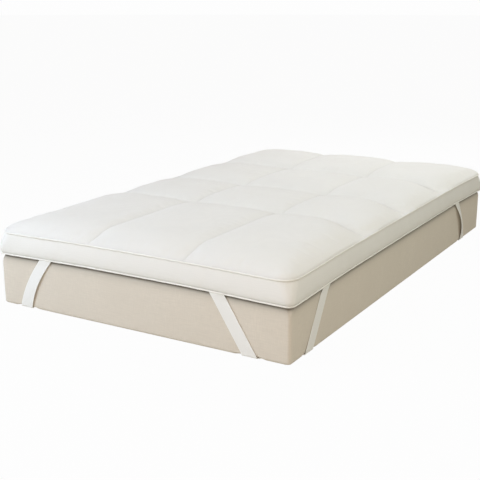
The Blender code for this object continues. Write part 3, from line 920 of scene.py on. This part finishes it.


class Nodes:
    """Short ways to add and join the nodes of a material or the world."""

    def __init__(self, owner):
        owner.use_nodes = True
        self.owner = owner
        self.tree = owner.node_tree

    def add(self, kind, inputs=None, **settings):
        node = self.tree.nodes.new(kind)
        for key, value in settings.items():
            setattr(node, key, value)
        for key, value in (inputs or {}).items():
            self.put(node.inputs[key], value)
        return node

    def put(self, socket, value):
        if isinstance(value, bpy.types.NodeSocket):
            self.tree.links.new(value, socket)
        else:
            socket.default_value = value

    def place(self):
        return self.add("ShaderNodeTexCoord").outputs["Object"]

    def stretched(self, vector, scale):
        node = self.add("ShaderNodeVectorMath", {0: vector, 1: scale}, operation="MULTIPLY")
        return node.outputs[0]

    def noise(self, vector, scale, detail=2.0, roughness=0.5):
        inputs = {"Vector": vector, "Scale": scale, "Detail": detail, "Roughness": roughness}
        return self.add("ShaderNodeTexNoise", inputs).outputs["Fac"]

    def wave(self, vector, direction, pitch, wobble=0.0):
        scale = math.tau / WAVE_REPEATS / pitch
        inputs = {"Vector": vector, "Scale": scale, "Distortion": wobble, "Detail": WAVE_DETAIL}
        node = self.add("ShaderNodeTexWave", inputs, bands_direction=direction)
        return node.outputs["Fac"]

    def math(self, operation, *values):
        inputs = dict(enumerate(values))
        return self.add("ShaderNodeMath", inputs, operation=operation).outputs[0]

    def value(self, name):
        return self.add("ShaderNodeAttribute", attribute_name=name).outputs["Fac"]

    def ramp(self, value, limits, most=1.0):
        """Goes from 0 to most as a value goes from its lower limit to its upper one."""
        inputs = {"Value": value, 1: limits[0], 2: limits[1], 3: 0.0, 4: most}
        return self.add("ShaderNodeMapRange", inputs).outputs[0]

    def blend(self, share, first, second):
        node = self.add("ShaderNodeMix", data_type="RGBA")
        self.put(node.inputs["Factor"], share)
        for key, value in ((6, first), (7, second)):
            if isinstance(value, tuple):
                value = (*value, 1.0)
            self.put(node.inputs[key], value)
        return node.outputs[2]

    def tones(self, value, limits, colour, first, second):
        """A colour whose brightness goes from a first factor to a second one with a value."""
        return self.blend(self.ramp(value, limits), shade(colour, first), shade(colour, second))

    def bump(self, height, distance, strength=1.0, normal=None):
        inputs = {"Height": height, "Distance": distance, "Strength": strength}
        if normal is not None:
            inputs["Normal"] = normal
        return self.add("ShaderNodeBump", inputs).outputs["Normal"]

    def finish(self, colour, normal, roughness, sheen):
        inputs = {
            "Base Color": colour,
            "Normal": normal,
            "Roughness": roughness,
            "Sheen Weight": sheen,
            "Sheen Roughness": SHEEN_ROUGHNESS,
            "Specular IOR Level": SPECULAR,
        }
        return self.fill("Principled BSDF", inputs)

    def fill(self, name, inputs):
        for key, value in inputs.items():
            self.put(self.tree.nodes[name].inputs[key], value)
        return self.owner

    def weave(self, vector, pitch, wobble):
        """Height of a plain weave that shows on a surface that faces any of the three axes."""
        x, y, z = (self.wave(vector, axis, pitch, wobble) for axis in "XYZ")
        return self.math("ADD", self.math("ADD", x, y), z)


def new_material(name):
    return Nodes(bpy.data.materials.new(name))


COTTON = (0.83, 0.82, 0.79)
WELT = (0.895, 0.883, 0.842)
ELASTIC = (0.90, 0.90, 0.885)
TICKING = (0.727, 0.668, 0.584)


def shade(colour, factor):
    return tuple(channel * factor for channel in colour)


def cotton_material():
    nodes = new_material("topper_cotton_woven")
    place = nodes.place()
    weave = nodes.weave(place, pitch=0.0011, wobble=1.5)
    slub = nodes.noise(nodes.stretched(place, (1.0, 0.12, 0.5)), scale=260.0, detail=3.0)
    cloud = nodes.noise(place, scale=5.0, detail=3.0)
    plain = nodes.tones(cloud, NOISE_RANGE, COTTON, 0.985, 1.012)
    thready = nodes.blend(nodes.ramp(weave, WEAVE_RANGE, most=0.5), plain, shade(COTTON, 0.95))
    # Painted shade: the cotton darkens beside its seams, where shade falls.
    painted_seam_shade = nodes.math("MULTIPLY", nodes.value("seam"), PAINTED_SEAM_SHADE)
    colour = nodes.blend(painted_seam_shade, thready, shade(COTTON, 0.72))
    fine = nodes.bump(weave, distance=0.00007, strength=0.6)
    crumple = nodes.noise(place, scale=42.0, detail=3.0, roughness=0.55)
    soft = nodes.bump(crumple, distance=0.0008, strength=0.35, normal=fine)
    normal = nodes.bump(slub, distance=0.00012, strength=0.5, normal=soft)
    return nodes.finish(colour, normal, roughness=0.88, sheen=0.22)


def welt_material():
    nodes = new_material("piping_cotton_bias")
    place = nodes.place()
    weave = nodes.weave(place, pitch=0.0009, wobble=0.8)
    cloud = nodes.noise(place, scale=60.0, detail=2.0)
    colour = nodes.tones(cloud, NOISE_RANGE, WELT, 0.97, 1.02)
    normal = nodes.bump(weave, distance=0.00008, strength=0.8)
    return nodes.finish(colour, normal, roughness=0.82, sheen=0.2)


def thread_material():
    nodes = new_material("quilting_thread")
    twist = nodes.wave(nodes.place(), "DIAGONAL", pitch=0.0007)
    colour = nodes.tones(twist, WAVE_RANGE, COTTON, 0.88, 1.03)
    normal = nodes.bump(twist, distance=0.00008, strength=0.7)
    return nodes.finish(colour, normal, roughness=0.6, sheen=0.1)


def elastic_material():
    nodes = new_material("strap_elastic_ribbed")
    across, along = nodes.value("across"), nodes.value("along")
    joined = nodes.add("ShaderNodeCombineXYZ", {0: across, 1: along}).outputs[0]
    weft = nodes.wave(joined, "Y", pitch=0.0016, wobble=0.6)
    fibre = nodes.noise(nodes.stretched(joined, (1.0, 0.2, 1.0)), scale=1400.0, detail=2.0)
    off_middle = nodes.math("ABSOLUTE", nodes.math("SUBTRACT", across, STRAP_WIDTH / 2))
    ribbed_half = STRAP_WIDTH / 2 - SELVEDGE
    selvedge = nodes.ramp(off_middle, (ribbed_half - SELVEDGE_FALL, ribbed_half))
    body = nodes.tones(weft, WAVE_RANGE, ELASTIC, 0.95, 1.02)
    fibred = nodes.blend(nodes.ramp(fibre, NOISE_RANGE, most=0.5), body, shade(ELASTIC, 0.97))
    colour = nodes.blend(selvedge, fibred, shade(ELASTIC, 1.04))
    height = nodes.math("ADD", weft, nodes.math("MULTIPLY", fibre, 0.5))
    normal = nodes.bump(height, distance=0.00016, strength=0.8)
    return nodes.finish(colour, normal, roughness=0.68, sheen=0.12)


def ticking_material():
    nodes = new_material("mattress_fabric_woven")
    place = nodes.place()
    weave = nodes.weave(place, pitch=0.0016, wobble=2.0)
    level = nodes.noise(nodes.stretched(place, (0.08, 0.08, 1.0)), scale=420.0, detail=3.0)
    upright = nodes.noise(nodes.stretched(place, (1.0, 1.0, 0.08)), scale=420.0, detail=3.0)
    cloud = nodes.noise(place, scale=6.0, detail=4.0)
    plain = nodes.tones(cloud, NOISE_RANGE, TICKING, 1.04, 1.09)
    threads = nodes.math("MULTIPLY", level, upright)
    heather = nodes.blend(nodes.ramp(threads, THREADS_RANGE), shade(TICKING, 0.95), plain)
    woven = nodes.blend(nodes.ramp(weave, WEAVE_RANGE, most=0.6), heather, shade(TICKING, 0.96))
    # Painted contact shade: the cover darkens nearly to black just below the topper's lower piping.
    painted_shade = nodes.math("MULTIPLY", nodes.value("shade"), PAINTED_CONTACT_SHADE)
    colour = nodes.blend(painted_shade, woven, shade(TICKING, 0.06))
    fine = nodes.bump(weave, distance=0.00012, strength=0.7)
    normal = nodes.bump(threads, distance=0.0003, strength=0.5, normal=fine)
    return nodes.finish(colour, normal, roughness=0.92, sheen=0.12)


# Camera, light and floor.

SENSOR_WIDTH = 36.0
PHOTO_WIDTH = 480.0  # pixels
FOCAL_LENGTH = 894.4  # pixels
VIEW_REACH = 200.0
CAMERA_AZIMUTH = 30.444
CAMERA_ELEVATION = 15.177
CAMERA_DISTANCE = 3.5839
CAMERA_TARGET = (-0.0075, -0.2718, 0.150)


def direction(azimuth, elevation):
    """Unit vector towards a place: azimuth 0 is in front of the foot end, 90 is to the right."""
    azimuth, elevation = math.radians(azimuth), math.radians(elevation)
    level = math.cos(elevation)
    return Vector((math.sin(azimuth) * level, -math.cos(azimuth) * level, math.sin(elevation)))


def add_camera():
    camera = bpy.data.cameras.new("camera")
    camera.sensor_width = SENSOR_WIDTH
    camera.lens = FOCAL_LENGTH / PHOTO_WIDTH * SENSOR_WIDTH
    camera.clip_end = VIEW_REACH
    thing = add_object("camera", camera)
    back = direction(CAMERA_AZIMUTH, CAMERA_ELEVATION)
    thing.location = Vector(CAMERA_TARGET) + back * CAMERA_DISTANCE
    thing.rotation_euler = (-back).to_track_quat("-Z", "Y").to_euler()
    bpy.context.scene.camera = thing


# Square softboxes that face the origin. Columns: name, azimuth, elevation, distance, power, colour.
SOFTBOX_SIZE = 2.4
SOFTBOXES = (
    ("left", -35.0, 28.0, 3.6, 84.0, (0.76, 0.88, 1.00)),
    ("near", 30.0, 22.0, 3.8, 39.9, (1.00, 0.93, 0.84)),
    ("right", 90.0, 45.0, 3.6, 36.4, (0.84, 1.00, 0.93)),
    ("back", 180.0, 45.0, 3.6, 74.0, (0.95, 1.00, 1.00)),
)
# Light thrown back by the studio's floor, and by its walls and ceiling.
FLOOR_BOUNCE = (0.466, 0.439, 0.356)
ROOM_BOUNCE = (0.147, 0.076, 0.056)
HORIZON = 0.01  # one fades into the other this far on each side of level


def add_lights():
    for name, azimuth, elevation, distance, power, colour in SOFTBOXES:
        light = bpy.data.lights.new(name, "AREA")
        light.size = SOFTBOX_SIZE
        light.energy = power
        light.color = colour
        thing = add_object(name, light)
        towards = direction(azimuth, elevation)
        thing.location = towards * distance
        thing.rotation_euler = towards.to_track_quat("Z", "Y").to_euler()
        thing.visible_camera = False
    nodes = Nodes(bpy.data.worlds.new("studio"))
    towards = nodes.add("ShaderNodeTexCoord").outputs["Generated"]
    height = nodes.add("ShaderNodeSeparateXYZ", {0: towards}).outputs["Z"]
    above = nodes.ramp(height, (-HORIZON, HORIZON))
    bounce = nodes.blend(above, FLOOR_BOUNCE, ROOM_BOUNCE)
    bpy.context.scene.world = nodes.fill("Background", {"Color": bounce})


FLOOR_Z = -0.0005  # just clear of the mattress's underside
FLOOR_REACH = 60.0
FLOOR_GLOW = 0.965
FLOOR_WHITE = 0.02
DOME_REACH = 0.95  # share of the floor's reach
DOME_STEPS = 12
DOME_TURNS = 48
DOME_LOWEST = -20.0
DOME_RISE = 109.0
DOME_GLOW = 0.985


def white_material(name, glow, white=0.0):
    inputs = {
        "Base Color": (white, white, white, 1.0),
        "Roughness": 1.0,
        "Specular IOR Level": 0.0,
        "Emission Color": (1.0, 1.0, 1.0, 1.0),
        "Emission Strength": glow,
    }
    return new_material(name).fill("Principled BSDF", inputs)


def add_stage():
    """A pale floor and, far off, a pale dome. Neither throws light back on the object."""
    signs = ((-1, -1), (1, -1), (1, 1), (-1, 1))
    corners = [(x * FLOOR_REACH, y * FLOOR_REACH, FLOOR_Z) for x, y in signs]
    pale = white_material("floor_pale", FLOOR_GLOW, FLOOR_WHITE)
    floor = add_mesh("floor", corners, [(0, 1, 2, 3)], pale)
    points = []
    for step in range(DOME_STEPS + 1):
        elevation = DOME_LOWEST + DOME_RISE * step / DOME_STEPS
        for turn in range(DOME_TURNS):
            towards = direction(360.0 * turn / DOME_TURNS, elevation)
            points.append(tuple(towards * FLOOR_REACH * DOME_REACH))
    numbers = np.arange(len(points)).reshape(DOME_STEPS + 1, DOME_TURNS)
    faces = tube_faces(numbers)
    faces.append(numbers[-1].tolist())
    dome = add_mesh("dome", points, faces, white_material("dome_pale", DOME_GLOW))
    for thing in (floor, dome):
        for ray in ("diffuse", "glossy", "transmission", "shadow"):
            setattr(thing, "visible_" + ray, False)


def main():
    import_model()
    bpy.context.scene.view_settings.view_transform = "Standard"
    add_camera()
    add_lights()
    add_stage()
    welt = welt_material()
    elastic = elastic_material()
    pad, stations = make_topper(cotton_material())
    mattress = make_mattress(ticking_material())
    top = (top_seam_z, WELT_TOP_INSET, TOP_CORNER_RADIUS)
    bottom = (bottom_seam_z, WELT_BOTTOM_INSET, BOTTOM_CORNER_RADIUS)
    welt_top = make_welt("welt_top", stations, *top, welt, turn=1.0)
    welt_bottom = make_welt("welt_bottom", stations, *bottom, welt, turn=4.0)
    stitches = make_stitches("quilting_stitches", quilting_paths(), thread_material())
    # Columns: piece, node that it replaces, material slot.
    pieces = [
        (pad, "topper_pad", "topper_cotton"),
        (mattress, "mattress", "mattress_fabric"),
        (welt_top, "piping_top", "piping_cotton"),
        (welt_bottom, "piping_bottom", "piping_cotton"),
        (stitches, None, "topper_cotton"),
    ]
    for strap in STRAPS:
        webbing, length = make_webbing(strap, elastic)
        pieces.append((webbing, "strap_" + strap[0], "strap_elastic"))
    for piece, node, slot in pieces:
        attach(piece, "root")
        if node:
            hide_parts(node)


main()
